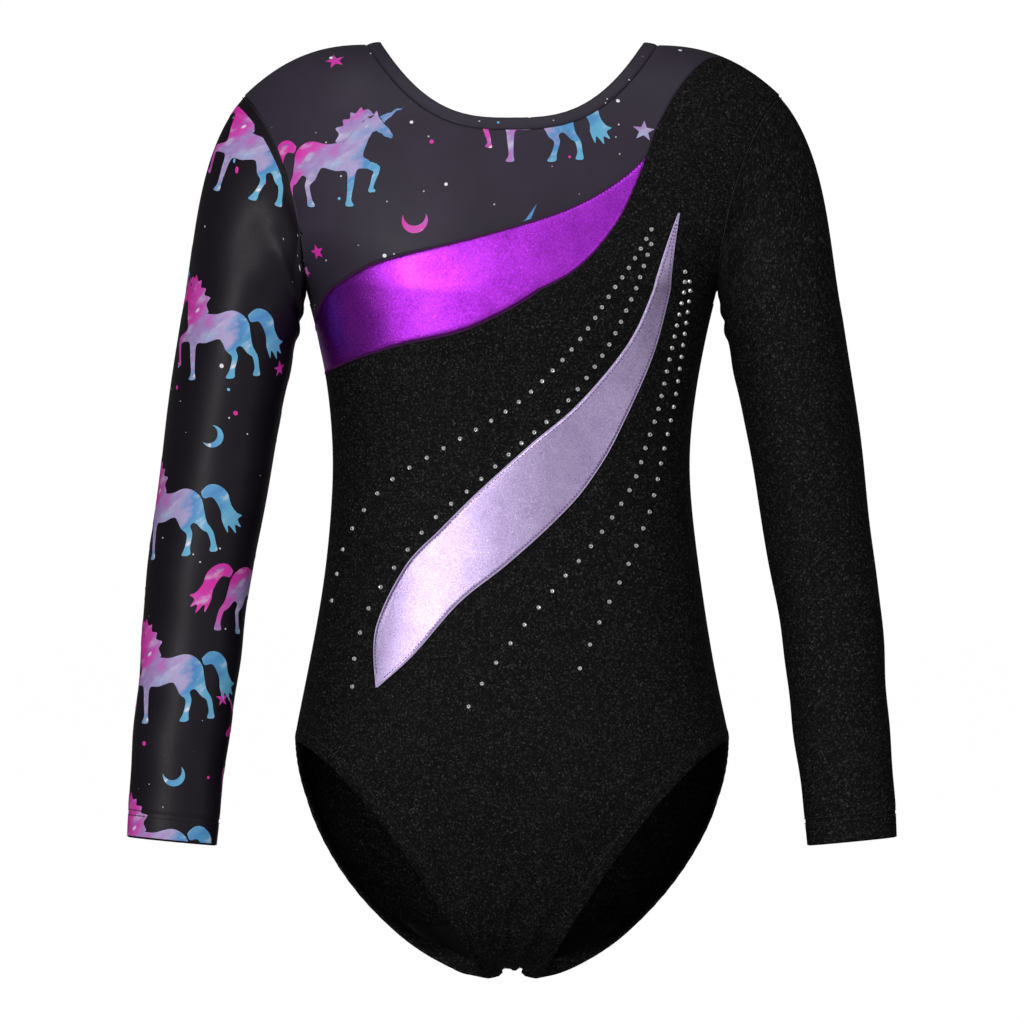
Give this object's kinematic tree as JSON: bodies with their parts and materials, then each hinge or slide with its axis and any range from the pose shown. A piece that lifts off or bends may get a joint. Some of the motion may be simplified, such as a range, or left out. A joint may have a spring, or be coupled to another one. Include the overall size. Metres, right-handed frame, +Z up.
{
  "type": "gymnastics leotard",
  "caption": "Long-sleeved one-piece gymnastics leotard with a galaxy-print yoke and sleeve, foil band, swoosh and crystals.",
  "frame": {"origin": "midway between the two high points of the neck opening, where the shoulder seams meet the neck binding", "axes": "+X to the wearer's left, -Y out of the front, +Z up"},
  "size_m": [0.4466, 0.1624, 0.5437],
  "materials": {
    "black_sparkle_cloth": "satin",
    "galaxy_print_cloth": "satin",
    "purple_foil_cloth": "satin",
    "lilac_foil_cloth": "satin",
    "white_elastic": "matte",
    "crystal": "gloss",
    "purple_thread": "matte",
    "black_thread": "matte",
    "label_satin": "satin"
  },
  "bodies": {
    "trunk": {"front_body_panel": "black_sparkle_cloth", "front_yoke_panel": "galaxy_print_cloth", "foil_band_panel": "purple_foil_cloth", "back_body_panel": "black_sparkle_cloth", "lilac_swoosh": "lilac_foil_cloth", "neck_binding": "galaxy_print_cloth", "neck_elastic": "white_elastic", "right_leg_hem": "black_sparkle_cloth", "left_leg_hem": "black_sparkle_cloth", "right_leg_elastic": "white_elastic", "left_leg_elastic": "white_elastic", "crotch_lining": "black_sparkle_cloth", "crystal_row_1": "crystal", "crystal_row_2": "crystal", "crystal_row_3": "crystal", "crystal_row_4": "crystal", "neck_topstitch": "black_thread", "band_upper_stitch": "purple_thread", "band_lower_stitch": "purple_thread", "swoosh_stitch": "purple_thread", "right_armhole_seam": "black_thread", "left_armhole_seam": "black_thread", "right_side_seam": "black_thread", "left_side_seam": "black_thread", "right_shoulder_seam": "black_thread", "left_shoulder_seam": "black_thread", "right_leg_topstitch": "black_thread", "left_leg_topstitch": "black_thread", "crotch_seam": "black_thread", "care_label": "label_satin"},
    "sleeve_right": {"right_sleeve": "galaxy_print_cloth", "right_cuff_hem": "galaxy_print_cloth", "right_cuff_topstitch": "black_thread"},
    "sleeve_left": {"left_sleeve": "black_sparkle_cloth", "left_cuff_hem": "black_sparkle_cloth", "left_cuff_topstitch": "black_thread"}
  },
  "joints": [
    {"name": "right_sleeve_raise", "type": "hinge", "parent": "trunk", "child": "sleeve_right", "pos_m": [-0.155, 0, -0.029], "axis": [0, 1, 0], "range_deg": [0, 60]},
    {"name": "left_sleeve_raise", "type": "hinge", "parent": "trunk", "child": "sleeve_left", "pos_m": [0.155, 0, -0.029], "axis": [0, -1, 0], "range_deg": [0, 60]}
  ]
}
